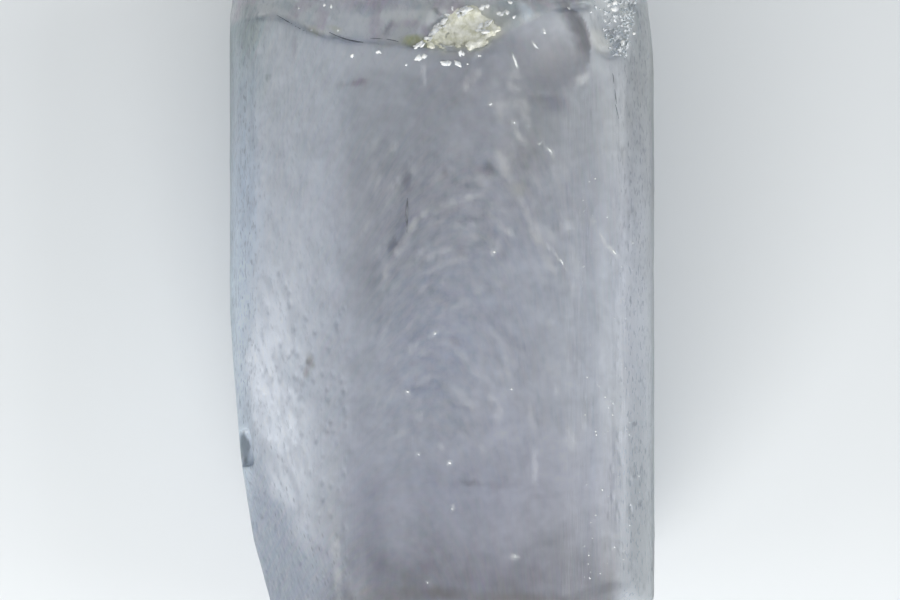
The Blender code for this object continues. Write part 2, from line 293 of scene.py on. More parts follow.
crystalLook = {
    "transmission": (0.72, 0.42),  # where it is clear, and where it is hazy
    "roughness": (0.34, 0.45),
    "dull": 0.70,  # the roughness in the chip
    "ior": 1.66,
    "absorbed": (0.62, 0.66, 0.78, 1),
    "density": 120.0,
    "bump": {"Strength": 0.4, "Distance": 0.00001},
    "sides": ((-1.6, -2.8), (2.9, 3.25)),  # from x to x, at the left and at the right
    "strips": ((-3.0, -3.45), (2.95, 3.40)),
    "stray": 0.8,  # how far the strips' edges stray
    "centre": (("x", -1.6, -0.8), ("x", 2.9, 2.0), ("y", -4.0, -1.8), ("y", 3.2, 2.0)),
    # milky and dark dashes that lean in the haze
    "dashes": {"detail": 3.0, "roughness": 0.62, "stretch": (0.075, 0.26, 0.075), "turn": 16},
    "milkyDashes": ((0.52, 0.70), 0.40),
    "darkDashes": ((0.46, 0.28), 0.40),
    # streaks along the crystal: everywhere, and more at the sides
    "streak": {"detail": 2.0, "roughness": 0.6, "stretch": (0.05, 0.60, 0.05)},
    "streakBand": (0.25, 0.75),
    "streakTones": ((0.30, 0.31, 0.32, 1), (0.70, 0.70, 0.71, 1)),
    "streakShares": (0.08, 0.22),
    # feathers along the nested arches: everywhere, and more in the middle
    "plume": {"detail": 4.0, "roughness": 0.66, "stretch": (0.14, 0.17, 0.4)},
    "plumeBand": (0.30, 0.70),
    "plumeTones": ((0.28, 0.28, 0.30, 1), (0.72, 0.72, 0.72, 1)),
    "plumeShares": (0.09, 0.26),
    "plumeHue": 0.16,
    # pits in some of the cells: low on the left flank, on the strips, and fewer on the rest of the flank
    "pit": {"radii": (0.065, 0.17, 0.065), "turn": 16, "chosen": (0.62, 0.74), "edge": (0.40, 0.12)},
    "pitShare": 0.50,
    "slant": (4.84, 0.58),  # x + 4.84 + 0.58 y is 0 along the lower edge of the veil
    "lowFlank": (("slant", -0.8, -0.1), ("slant", 0.8, 0.2), ("y", -0.6, -2.2)),
    "stripPits": 0.6,
    "flankPits": ((-1.7, -2.3), 0.30),
    # short crisp dirt lines on the strips
    "crisp": {"detail": 1.0, "roughness": 0.5, "stretch": (0.035, 0.15, 0.035)},
    "crispBand": (0.58, 0.66),
    "crispShare": 0.45,
}

# the crystal's colours: across it, from left to right, as (x, colour on a screen), and factors along it,
# as (y, factors)
tones = {
    "across": (
        (-3.75, (176, 190, 194)), (-3.64, (202, 214, 224)), (-3.30, (208, 218, 228)),
        (-3.15, (214, 220, 228)), (-2.00, (210, 216, 226)), (-1.50, (214, 218, 228)),
        (-0.20, (211, 215, 226)), (1.00, (221, 224, 236)), (2.05, (229, 232, 241)), (2.85, (217, 221, 229)),
        (3.10, (236, 240, 246)), (3.64, (238, 242, 242)), (3.72, (180, 186, 184)),
    ),
    "alongFront": (
        (-5.25, (0.79, 0.78, 0.77)), (-4.90, (0.855, 0.845, 0.85)), (-4.20, (1.00, 0.995, 1.00)),
        (-3.40, (1.06, 1.055, 1.065)), (-1.75, (1.05, 1.05, 1.04)), (0.00, (1.0, 1.0, 0.985)),
        (1.75, (0.975, 0.97, 0.95)), (3.20, (1.0, 1.0, 0.975)),
    ),
    "alongLeft": (
        (-5.20, (0.67, 0.68, 0.70)), (-4.30, (0.91, 0.91, 0.925)), (-3.20, (1.0, 1.0, 1.0)),
        (1.75, (1.0, 1.0, 1.0)), (5.00, (0.98, 0.98, 0.96)),
    ),
    "alongRight": (
        (-5.20, (1.12, 1.13, 1.13)), (-3.20, (1.09, 1.10, 1.10)), (-0.50, (1.09, 1.08, 1.07)),
        (1.75, (1.01, 1.0, 0.99)), (5.00, (0.94, 0.94, 0.91)),
    ),
    "alongStrip": (
        (-5.20, (0.98, 1.0, 1.0)), (-1.75, (1.18, 1.19, 1.19)), (0.00, (1.20, 1.21, 1.215)),
        (1.75, (1.07, 1.08, 1.10)), (3.20, (1.0, 1.0, 1.0)), (5.00, (0.94, 0.96, 0.92)),
    ),
    "veil": screenColour(240, 246, 255),
    "underVeil": screenColour(176, 186, 200),
    "brokenEnd": screenColour(228, 231, 229),
    "brokenWarm": screenColour(206, 196, 204),
    "brokenCool": screenColour(196, 206, 206),
    # painted light in the chip's hollow, and painted shade in its crescent
    "hollow": screenColour(230, 226, 226),
    "crescent": screenColour(104, 98, 102),
    "pitShade": screenColour(126, 132, 140),
    "milk": screenColour(255, 255, 250),
}

# the milky veil on the left flank: y, x of its middle, half width, strength
veil = (
    (-5.30, -1.98, 0.20, 0.0), (-4.70, -2.12, 0.22, 0.0), (-4.21, -2.22, 0.22, 0.25),
    (-3.69, -2.40, 0.24, 0.50), (-3.16, -2.64, 0.28, 0.80), (-2.63, -2.86, 0.32, 1.05),
    (-2.11, -3.02, 0.36, 1.20), (-1.40, -3.08, 0.38, 1.20), (-0.70, -3.04, 0.40, 0.95),
    (0.00, -2.98, 0.42, 0.70), (0.70, -2.92, 0.40, 0.60), (1.40, -2.80, 0.44, 0.30),
    (2.60, -2.60, 0.50, 0.0),
)

# short feathery strokes in the middle, along nested arches that fall away from a leaning middle line
feathers = {
    "seed": 17,
    "count": 260,
    "middle": 0.07,  # x of the middle line where y is 0
    "lean": 0.2,
    "fall": 0.65,
    "x": (-1.3, 2.5),
    "y": (-2.6, 2.6),
    "length": (0.12, 0.42),
    "halfWidth": (0.028, 0.070),
    "bend": 0.40,
    "milkyShare": 0.6,
    "milky": (0.06, 0.24),
    "dark": (0.05, 0.18),
}

# borders of the painted zones, from where they start to where they are full, and how they stray
zones = {
    "upper": (3.3, 4.3),  # in z
    "wander": {"size": 1.3, "x": 0.22, "y": 0.40},
    "shake": {"size": 0.15, "reach": 0.045},  # the marks' edges
    "straight": 3.2,  # past this x the colours across don't stray
    "left": (-1.4, -2.0),
    "right": (2.9, 3.3),
    "strip": (-3.00, -3.50),
    "stripStray": 0.12,
    "stripLean": 0.03,
    "mottles": ((0.06, 0.42, 4, 60.0), (0.05, 0.13, 2, 80.0)),  # strength, size, octaves, shift
    "flank": (-1.05, -2.45),
    "flankHaze": 0.4,
    "broken": (-0.03, 0.06),  # in how far y is past the ledge
    "brokenMottles": (("brokenWarm", 0.45, 20.0), ("brokenCool", 0.35, 40.0)),  # tone, size, shift
    "brokenHaze": 0.5,
}

# marks on the upper surface: x, y, radii, turn in degrees, soft edge, colour on a screen, share
marks = {
    "brown stain": (-2.30, -1.08, (0.07, 0.11), 10, 0.6, (146, 138, 126), 0.70),
    "brown stain low": (-2.36, -1.27, (0.07, 0.08), 0, 0.6, (150, 140, 130), 0.60),
    "shade by needle": (-0.46, 1.36, (0.14, 0.20), -28, 0.7, (158, 160, 174), 0.45),
    "shade left of needle": (-0.72, 1.22, (0.11, 0.34), -16, 0.7, (150, 152, 168), 0.60),
    "low smudge": (-0.85, 0.94, (0.07, 0.13), -14, 0.7, (132, 133, 148), 0.70),
    "high smudge": (-0.61, 2.12, (0.07, 0.22), 4, 0.7, (148, 144, 155), 0.60),
    "smudge right": (0.06, 2.26, (0.05, 0.12), 0, 0.7, (158, 154, 156), 0.50),
    "purple smudge": (-1.44, 3.80, (0.13, 0.055), 8, 0.7, (148, 130, 146), 0.65),
    "purple tail": (-1.70, 3.76, (0.14, 0.035), 0, 0.7, (160, 152, 156), 0.35),
    "dark by arch": (0.83, 2.28, (0.12, 0.13), 20, 0.8, (132, 134, 144), 0.65),
    "dark under arch": (0.80, 1.07, (0.13, 0.13), 0, 0.9, (150, 152, 160), 0.50),
    "dark under line": (0.50, 1.40, (0.16, 0.07), 10, 0.9, (150, 152, 160), 0.40),
    "dark slope": (1.10, -0.58, (0.46, 0.07), -42, 0.9, (146, 144, 156), 0.28),
    "dark slope dot": (0.22, -0.70, (0.12, 0.05), -40, 0.8, (132, 132, 144), 0.50),
    "dark low blotch": (-0.44, -1.56, (0.14, 0.07), 6, 0.9, (132, 134, 152), 0.42),
    "pink dash": (-0.02, -0.02, (0.20, 0.05), -25, 0.9, (224, 214, 220), 0.30),
    "cream blotch": (1.33, 1.94, (0.15, 0.11), -20, 0.9, (240, 238, 226), 0.55),
    "cream blotch low": (1.64, 1.10, (0.16, 0.07), -50, 0.9, (238, 238, 228), 0.45),
    "cream blotch right": (2.24, 1.28, (0.14, 0.09), 0, 0.9, (244, 246, 246), 0.30),
    "warm tint": (1.40, 2.50, (0.30, 0.42), 0, 1.0, (186, 182, 172), 0.35),
    "green tint": (1.62, 3.30, (0.36, 0.60), 10, 1.0, (186, 190, 182), 0.35),
    "violet tint": (-0.20, -0.80, (0.60, 0.90), 0, 1.0, (182, 186, 212), 0.30),
    "violet by chip": (2.02, 3.42, (0.22, 0.16), -25, 0.8, (154, 150, 164), 0.50),
    "shade right high": (2.76, 1.70, (0.32, 0.80), 0, 1.0, (192, 196, 204), 0.35),
    "shade by crease": (-1.28, -3.75, (0.26, 0.85), 0, 1.0, (180, 183, 200), 0.50),
    "bluish patch": (0.30, -3.30, (0.70, 0.60), 0, 1.0, (190, 196, 216), 0.25),
    "wedge shade": (-1.80, 4.59, (0.15, 0.045), -28, 0.6, (118, 128, 134), 0.60),
    "pale below granules": (2.80, 4.16, (0.20, 0.20), 0, 0.9, (240, 244, 246), 0.50),
    "milky triangle": (2.76, 4.52, (0.15, 0.26), 30, 0.6, (255, 255, 246), 0.75),
    "milky rim": (2.46, 3.86, (0.15, 0.09), 40, 0.6, (250, 252, 250), 0.60),
    "haze by granules": (2.70, 5.02, (0.22, 0.24), 0, 0.8, (246, 250, 248), 0.60),
    "warm chip floor": (2.05, 4.10, (0.34, 0.34), 20, 0.9, (200, 190, 184), 0.40),
    # painted glints: pale spots below and beside the glint chips under the ledge
    "painted glint below grains": (-0.32, 4.03, (0.045, 0.10), 0, 0.7, (250, 252, 255), 0.50),
    "painted glint streak lower": (-0.29, 3.84, (0.045, 0.09), 0, 0.7, (250, 252, 255), 0.40),
    "painted glint by grains": (0.62, 4.25, (0.08, 0.06), 0, 0.8, (250, 252, 255), 0.45),
    "upper white bit": (-3.02, 4.99, (0.16, 0.04), -6, 0.6, (232, 232, 228), 0.55),
    "cream by crust": (0.54, 4.66, (0.56, 0.28), 24, 0.7, (250, 248, 226), 0.80),
    "grey below crust": (1.30, 4.46, (0.28, 0.16), 0, 0.8, (176, 180, 184), 0.50),
    "pale blue patch": (1.46, 5.02, (0.11, 0.16), 10, 0.5, (236, 248, 255), 0.80),
    "stain by crust": (-0.48, 4.51, (0.22, 0.10), 4, 0.6, (176, 178, 96), 0.85),
    "stain fringe": (-0.90, 4.46, (0.22, 0.06), 4, 0.8, (196, 192, 170), 0.50),
    "stain on crack": (-2.22, 4.72, (0.16, 0.06), -20, 0.8, (206, 204, 164), 0.50),
    "stain on crack right": (-1.85, 4.74, (0.12, 0.045), -20, 0.8, (206, 206, 168), 0.45),
    "pale under crack": (-1.30, 4.22, (0.80, 0.30), 2, 0.9, (246, 250, 255), 0.28),
    "dark top left": (-0.06, 5.02, (0.13, 0.035), -24, 0.5, (112, 114, 118), 0.65),
    "dark nick": (-0.92, 4.76, (0.045, 0.14), -20, 0.6, (120, 124, 130), 0.60),
    "purple top": (-1.30, 5.20, (0.60, 0.14), 0, 0.9, (172, 160, 178), 0.50),
    "plum top right": (2.20, 5.22, (0.24, 0.07), 8, 0.7, (140, 124, 142), 0.55),
    "shade left top": (-2.58, 4.42, (0.045, 0.20), 0, 0.7, (164, 160, 170), 0.50),
    "green dot": (-3.04, 3.90, (0.035, 0.07), 0, 0.6, (118, 130, 128), 0.60),
    "pale dot": (-3.20, 4.37, (0.05, 0.06), 0, 0.8, (236, 240, 246), 0.60),
    "green strip top": (-3.42, 4.90, (0.16, 0.55), 0, 0.9, (150, 160, 150), 0.50),
    "light dash low": (1.635, -2.88, (0.05, 0.28), 0, 0.8, (240, 242, 246), 0.40),
    "nick dirt": (-3.48, -2.62, (0.085, 0.31), 6, 0.25, (84, 100, 102), 0.95),
    "dark spot low": (0.53, -3.18, (0.13, 0.05), 0, 0.9, (140, 138, 148), 0.50),
    "faint line low": (0.75, -3.22, (0.75, 0.05), -3, 0.9, (160, 160, 174), 0.22),
    "brown foot left": (-0.70, -5.14, (0.34, 0.10), 14, 0.8, (150, 140, 132), 0.30),
    "brown foot middle": (0.02, -5.11, (0.36, 0.09), 2, 0.8, (132, 124, 120), 0.70),
    "brown foot right": (1.30, -5.20, (0.80, 0.09), -2, 0.8, (146, 138, 132), 0.50),
    "cream foot": (-1.32, -5.12, (0.10, 0.09), 0, 0.8, (206, 202, 186), 0.40),
    "dark foot spot": (-0.22, -4.66, (0.16, 0.10), 20, 0.9, (146, 140, 146), 0.45),
    "dark foot left": (-1.06, -4.62, (0.12, 0.20), 0, 0.9, (142, 142, 158), 0.45),
}
milkyTint = 0.78  # a mark paler than this is hazy too

# milky wisps in the crystal: from x, y to x, y, half width, share
wisps = (
    (1.25, 4.30, 1.33, 4.04, 0.035, 0.95), (1.58, 4.52, 1.66, 4.40, 0.028, 0.70),
    (1.77, 4.74, 1.83, 4.64, 0.024, 0.65), (1.28, 4.02, 1.30, 3.60, 0.110, 0.40),
    (1.30, 3.70, 1.16, 3.20, 0.120, 0.32), (0.62, 4.00, 0.44, 3.66, 0.090, 0.40),
    (0.94, 3.80, 1.02, 3.20, 0.100, 0.32), (1.42, 3.60, 1.52, 3.00, 0.080, 0.26),
    (1.16, 3.24, 1.28, 3.00, 0.060, 0.60), (1.10, 3.10, 1.20, 2.50, 0.090, 0.28),
    (1.24, 2.96, 1.44, 2.74, 0.060, 0.40), (1.78, 2.74, 1.98, 2.48, 0.030, 0.55),
    (0.98, 2.65, 1.18, 2.10, 0.090, 0.32), (0.96, 1.48, 1.22, 1.14, 0.060, 0.45),
    (1.46, 1.60, 1.74, 1.06, 0.060, 0.28), (1.74, 1.06, 1.92, 0.86, 0.050, 0.28),
    (1.98, 0.84, 2.18, 0.54, 0.024, 0.50), (2.66, 1.34, 2.80, 1.08, 0.050, 0.55),
    (2.84, 1.04, 3.06, 0.80, 0.034, 0.55), (0.10, 1.66, 0.64, 1.86, 0.070, 0.34),
    (-0.24, 1.62, -0.56, 1.18, 0.065, 0.32), (-0.56, 1.18, -0.86, 0.66, 0.060, 0.36),
    (-0.90, 0.70, -1.02, 0.30, 0.060, 0.26), (-1.30, 1.30, -1.62, 0.90, 0.070, 0.30),
    (-0.74, 2.10, -1.10, 1.60, 0.080, 0.22), (-0.34, -0.20, -0.02, -0.04, 0.060, 0.25),
    (-0.10, -0.56, -0.80, -1.10, 0.070, 0.25), (0.12, -0.60, 0.46, -1.10, 0.060, 0.22),
    (0.30, -1.64, 0.60, -1.90, 0.080, 0.22), (-0.60, -1.90, -0.20, -2.10, 0.070, 0.18),
    (0.80, -1.60, 1.10, -2.00, 0.060, 0.20), (-1.92, -3.20, -1.85, -4.40, 0.080, 0.26),
    (-1.85, -4.20, -1.80, -5.40, 0.060, 0.26),
)

sharpWisps = {
    "from": 0.65,  # wisps of this share and more are drawn by the material, and the others are painted
    "height": 5.0,
    "reach": 1.3,  # up and down
    "shake": 0.08,
    "edge": (1.5, 0.4),
    "share": 0.65,
}
strokeReach = 0.58  # a stroke's radius along it, as a share of its length

chip = {
    "centre": (1.50, 4.42, 6.12),
    "radii": (1.16, 0.90, 0.62),
    "turn": (0, 27, -12),
    "wear": 260,  # how often its left side is smoothed, so that it fades out
    "floorWear": 45,
    # the crescent is painted shade along the chip's steep right wall
    "rim": (1.78, 4.42, (0.83, 0.84)),  # the dark crescent lies inside this ellipse: x, y, radii
    "core": (1.62, 4.28, (0.80, 0.82)),  # and outside this one
}


def smoothRise(value, low, high):
    share = np.clip((value - low) / (high - low), 0.0, 1.0)
    return share * share * (3 - 2 * share)


def coordinates(piece):
    mesh = piece.data
    place = np.empty(len(mesh.vertices) * 3, np.float32)
    normal = np.empty(len(mesh.vertices) * 3, np.float32)
    mesh.vertices.foreach_get("co", place)
    mesh.vertices.foreach_get("normal", normal)
    return place.reshape(-1, 3), normal.reshape(-1, 3)


# a vertex group from an array of weights
def weigh(piece, name, weights, steps=16):
    group = piece.vertex_groups.new(name=name)
    level = np.round(weights * steps).astype(int)
    for number in range(1, steps + 1):
        chosen = np.nonzero(level == number)[0]
        if len(chosen):
            group.add(chosen.tolist(), number / steps, "REPLACE")


# displaces the surface by a texture, stretched by an empty that is then removed
def dent(piece, kind, stretch, depth, group="", middle=0.5, ramp=None, turn=0.0, place=(0, 0, 0), **settings):
    deselectEverything()
    bpy.ops.object.empty_add(location=place, rotation=(0.0, 0.0, turn))
    guide = bpy.context.object
    guide.scale = stretch
    texture = bpy.data.textures.new(kind.lower(), kind)
    for name, value in {"noise_scale": 1.0, **settings}.items():
        setattr(texture, name, value)
    if ramp:
        texture.use_color_ramp = True
        for element, position, level in zip(texture.color_ramp.elements, ramp, (0, 1)):
            element.position = position
            element.color = (level, level, level, 1)
    bpy.context.view_layer.update()
    finishModifier(
        piece,
        "DISPLACE",
        texture=texture,
        texture_coords="OBJECT",
        texture_coords_object=guide,
        strength=depth,
        mid_level=middle,
        vertex_group=group,
    )
    bpy.data.objects.remove(guide)


# 1 past the borders at either side, each from value to value
def beyond(tree, value, borders):
    first, second = (rise(tree, value, *border) for border in borders)
    return maths(tree, "MAXIMUM", first, second)


# 1 where every value is past its border
def within(tree, values, borders):
    return times(tree, *(rise(tree, values[name], low, high) for name, low, high in borders))


# strong everywhere by the first share, and by the second as well where the zone is 1
def shareOf(tree, zone, shares):
    return maths(tree, "ADD", shares[0], times(tree, zone, shares[1]))


# how near a place is to the nearest of the sharpest wisps, which are too thin to paint on the points
def nearestWisp(tree, place, dashes):
    inputs = {0: dashes.outputs["Color"], 1: (0.5, 0.5, 0.5)}
    centred = addNode(tree, "VectorMath", inputs, operation="SUBTRACT").outputs[0]
    inputs = {0: centred, "Scale": sharpWisps["shake"]}
    moved = addNode(tree, "VectorMath", inputs, operation="SCALE").outputs[0]
    shaky = addNode(tree, "VectorMath", {0: place, 1: moved}, operation="ADD").outputs[0]
    nearest = 9.0
    for *line, share in wisps:
        if share >= sharpWisps["from"]:
            centreX, centreY, radii, turn = strokeEllipse(*line)
            centre, radii = (centreX, centreY, sharpWisps["height"]), (*radii, sharpWisps["reach"])
            inner = insideOf(tree, shaky, centre, radii, turn)
            reach = addNode(tree, "VectorMath", {0: inner}, operation="LENGTH").outputs["Value"]
            nearest = maths(tree, "MINIMUM", reach, nearest)
    return nearest


def makeCrystalMaterial():
    look = crystalLook
    material = bpy.data.materials.new("hazy sillimanite")
    material.use_nodes = True
    tree = material.node_tree
    shader = tree.nodes["Principled BSDF"]
    place = objectPlace(tree)
    tint, haze, dull = (addNode(tree, "Attribute", attribute_name=name) for name in ("tint", "haze", "dull"))
    colour, haze, dull = tint.outputs["Color"], haze.outputs["Fac"], dull.outputs["Fac"]
    x, y, z = axes(tree, place)
    sides = beyond(tree, x, look["sides"])
    centre = within(tree, {"x": x, "y": y}, look["centre"])

    dashes = noise(tree, place, 1.0, **look["dashes"])
    streak = noise(tree, place, 1.0, **look["streak"]).outputs["Fac"]
    wavy = times(tree, maths(tree, "SUBTRACT", dashes.outputs["Fac"], 0.5), look["stray"])
    strips = beyond(tree, maths(tree, "ADD", x, wavy), look["strips"])
    offset = maths(tree, "SUBTRACT", x, feathers["middle"])
    across = maths(tree, "SUBTRACT", offset, times(tree, y, feathers["lean"]))
    level = maths(tree, "ADD", y, times(tree, across, across, feathers["fall"]))
    arches = addNode(tree, "CombineXYZ", {0: level, 1: across, 2: z}).outputs[0]
    plume = noise(tree, arches, 1.0, **look["plume"])
    for name, tone in (("milkyDashes", "milk"), ("darkDashes", "pitShade")):
        band, share = look[name]
        cover = times(tree, rise(tree, dashes.outputs["Fac"], *band), haze, share)
        colour = blendColour(tree, cover, colour, tones[tone])
    tone = blendColour(tree, rise(tree, streak, *look["streakBand"]), *look["streakTones"])
    colour = blendColour(tree, shareOf(tree, sides, look["streakShares"]), colour, tone, "OVERLAY")
    tone = blendColour(tree, rise(tree, plume.outputs["Fac"], *look["plumeBand"]), *look["plumeTones"])
    colour = blendColour(tree, shareOf(tree, centre, look["plumeShares"]), colour, tone, "OVERLAY")
    colour = blendColour(tree, look["plumeHue"], colour, plume.outputs["Color"], "OVERLAY")

    # pits, drawn out along the crystal and leaning
    make = look["pit"]
    leaning = insideOf(tree, place, (0, 0, 0), make["radii"], make["turn"])
    cells = addNode(tree, "TexVoronoi", {"Vector": leaning, "Scale": 1.0})
    chosen = rise(tree, axes(tree, cells.outputs["Color"])[0], *make["chosen"])
    pit = times(tree, rise(tree, cells.outputs["Distance"], *make["edge"]), chosen)
    away, fall = look["slant"]
    slant = maths(tree, "ADD", maths(tree, "ADD", x, away), times(tree, y, fall))
    lowFlank = within(tree, {"slant": slant, "y": y}, look["lowFlank"])
    pitZone = maths(tree, "MAXIMUM", lowFlank, times(tree, strips, look["stripPits"]))
    border, share = look["flankPits"]
    pitZone = maths(tree, "MAXIMUM", pitZone, times(tree, rise(tree, x, *border), share))
    colour = blendColour(tree, times(tree, pit, pitZone, look["pitShare"]), colour, tones["pitShade"])
    crisp = noise(tree, place, 1.0, **look["crisp"]).outputs["Fac"]
    cover = times(tree, rise(tree, crisp, *look["crispBand"]), strips, look["crispShare"])
    colour = blendColour(tree, cover, colour, tones["pitShade"])

    nearest = nearestWisp(tree, place, dashes)
    wisp = times(tree, rise(tree, nearest, *sharpWisps["edge"]), sharpWisps["share"])
    colour = blendColour(tree, wisp, colour, tones["milk"])
    haze = maths(tree, "MAXIMUM", haze, wisp)

    tree.links.new(colour, shader.inputs["Base Color"])
    values = []
    for clear, hazy in (look["transmission"], look["roughness"]):
        inputs = {"Value": haze, "To Min": clear, "To Max": hazy}
        values.append(addNode(tree, "MapRange", inputs).outputs["Result"])
    tree.links.new(values[0], shader.inputs["Transmission Weight"])
    roughness = maths(tree, "MAXIMUM", values[1], times(tree, dull, look["dull"]))
    tree.links.new(roughness, shader.inputs["Roughness"])
    bump = addNode(tree, "Bump", {"Height": streak, **look["bump"]})
    tree.links.new(bump.outputs["Normal"], shader.inputs["Normal"])
    shader.inputs["IOR"].default_value = look["ior"]
    inputs = {"Color": look["absorbed"], "Density": look["density"]}
    absorb = addNode(tree, "VolumeAbsorption", inputs)
    tree.links.new(absorb.outputs["Volume"], tree.nodes["Material Output"].inputs["Volume"])
    return material


# soft noise from -1 to 1 at each point, in clouds of that size
def clouds(place, size, octaves, shift):
    points = (place / size + shift).tolist()
    kind = "PERLIN_ORIGINAL"
    return np.array([softNoise.fractal(point, 1.0, 2.0, octaves, noise_basis=kind) for point in points])


# mixes one colour, or one for each point, over the colours
def paint(colour, share, tint):
    share = np.clip(share, 0.0, 1.0)[:, None]
    return colour * (1 - share) + np.asarray(tint)[..., :3] * share


# the stops' colours or factors at each of the values
def atStops(value, stops):
    positions = [position for position, _ in stops]
    channels = zip(*(parts[:3] for _, parts in stops))
    return np.column_stack([np.interp(value, positions, channel) for channel in channels])


# how far each point is from an ellipse's middle, where 1 is its edge
def ellipse(x, y, centreX, centreY, radii, turn=0.0):
    cosine, sine = math.cos(math.radians(turn)), math.sin(math.radians(turn))
    along = (x - centreX) * cosine + (y - centreY) * sine
    across = (y - centreY) * cosine - (x - centreX) * sine
    return np.hypot(along / radii[0], across / radii[1])


# the middle, radii and turn of the long ellipse that a stroke fills
def strokeEllipse(startX, startY, endX, endY, halfWidth):
    length = math.hypot(endX - startX, endY - startY)
    turn = math.degrees(math.atan2(endY - startY, endX - startX))
    return (startX + endX) / 2, (startY + endY) / 2, (length * strokeReach, halfWidth), turn


# coordinates in the chip's ellipsoid, and the distance from its middle, where 1 is its surface
def insideChip(place):
    turn = Euler([math.radians(angle) for angle in chip["turn"]]).to_matrix()
    inner = (place - np.array(chip["centre"])) @ np.array(turn) / np.array(chip["radii"])
    return inner, np.linalg.norm(inner, axis=1)


# short strokes along nested arches, milky or dark, laid over each other
def paintFeathers(colour, hazy, x, y, up):
    draw = random.Random(feathers["seed"])
    bend = feathers["bend"]
    for _ in range(feathers["count"]):
        startX, startY = draw.uniform(*feathers["x"]), draw.uniform(*feathers["y"])
        across = startX - feathers["middle"] - feathers["lean"] * startY
        heading = math.atan(-2 * feathers["fall"] * across) + draw.uniform(-bend, bend)
        length = draw.uniform(*feathers["length"])
        endX, endY = startX + length * math.cos(heading), startY + length * math.sin(heading)
        milky = draw.random() < feathers["milkyShare"]
        share = draw.uniform(*feathers["milky" if milky else "dark"])
        line = strokeEllipse(startX, startY, endX, endY, draw.uniform(*feathers["halfWidth"]))
        distance = ellipse(x, y, *line)
        cover = share * up * smoothRise(distance, 1.7, 0.2)
        colour = paint(colour, cover, tones["milk"] if milky else tones["pitShade"])
        hazy = np.maximum(hazy, cover * milky)
    return colour, hazy


# the veil on the left flank, softer towards the right and in streaks that lean, and the shade below it
def paintVeil(colour, place, y, stray, up):
    plainX, plainY, z = place.T
    levels = [row[0] for row in veil]
    middle, halfWidth, strength = (
        np.interp(y, levels, [row[column] for row in veil]) for column in (1, 2, 3)
    )
    offset = (plainX + stray * 0.14 - middle) / halfWidth
    below = smoothRise(offset, 0.1, -1.2) * smoothRise(y, -2.2, -3.4) * smoothRise(plainX, -3.5, -3.2)
    colour = paint(colour, 0.85 * below, tones["underVeil"])
    spread = np.where(offset > 0, offset / 1.7, -offset)
    leaning = np.column_stack([(plainX + 0.30 * plainY) / 0.13, plainY / 0.60, z / 0.5])
    streaks = smoothRise(clouds(leaning, 1.0, 4, 5.0), -0.45, 0.30)
    hazy = np.minimum(strength * smoothRise(spread, 1.9, 0.1) * up * (0.60 + 0.40 * streaks), 1.0)
    return paint(colour, hazy, tones["veil"]), hazy


# the hollow of the chip, painted paler and hazier as painted light that lifts the shade in it, and the dark
# crescent at its right, painted shade along its steep wall that also holds its brownish spots
def paintChip(colour, hazy, place, x, y, up):
    inner, reach = insideChip(place)
    floor = smoothRise(reach, 1.10, 1.04)
    hollow = floor * smoothRise(inner[:, 0], -0.5, 0.5) * smoothRise(place[:, 1], 5.0, 4.2)
    colour = paint(colour, 0.30 * hollow, tones["hollow"])
    hazy = np.maximum(hazy, 0.16 * hollow)
    rim, core = ellipse(x, y, *chip["rim"]), ellipse(x, y, *chip["core"])
    crescent = smoothRise(rim, 1.03, 0.98) * smoothRise(core, 0.84, 1.12) * smoothRise(x, 1.95, 2.25) * up
    colour = paint(colour, 0.72 * crescent * smoothRise(y, 3.80, 4.55), tones["crescent"])
    return colour, hazy, floor * smoothRise(inner[:, 0], -0.9, -0.2)


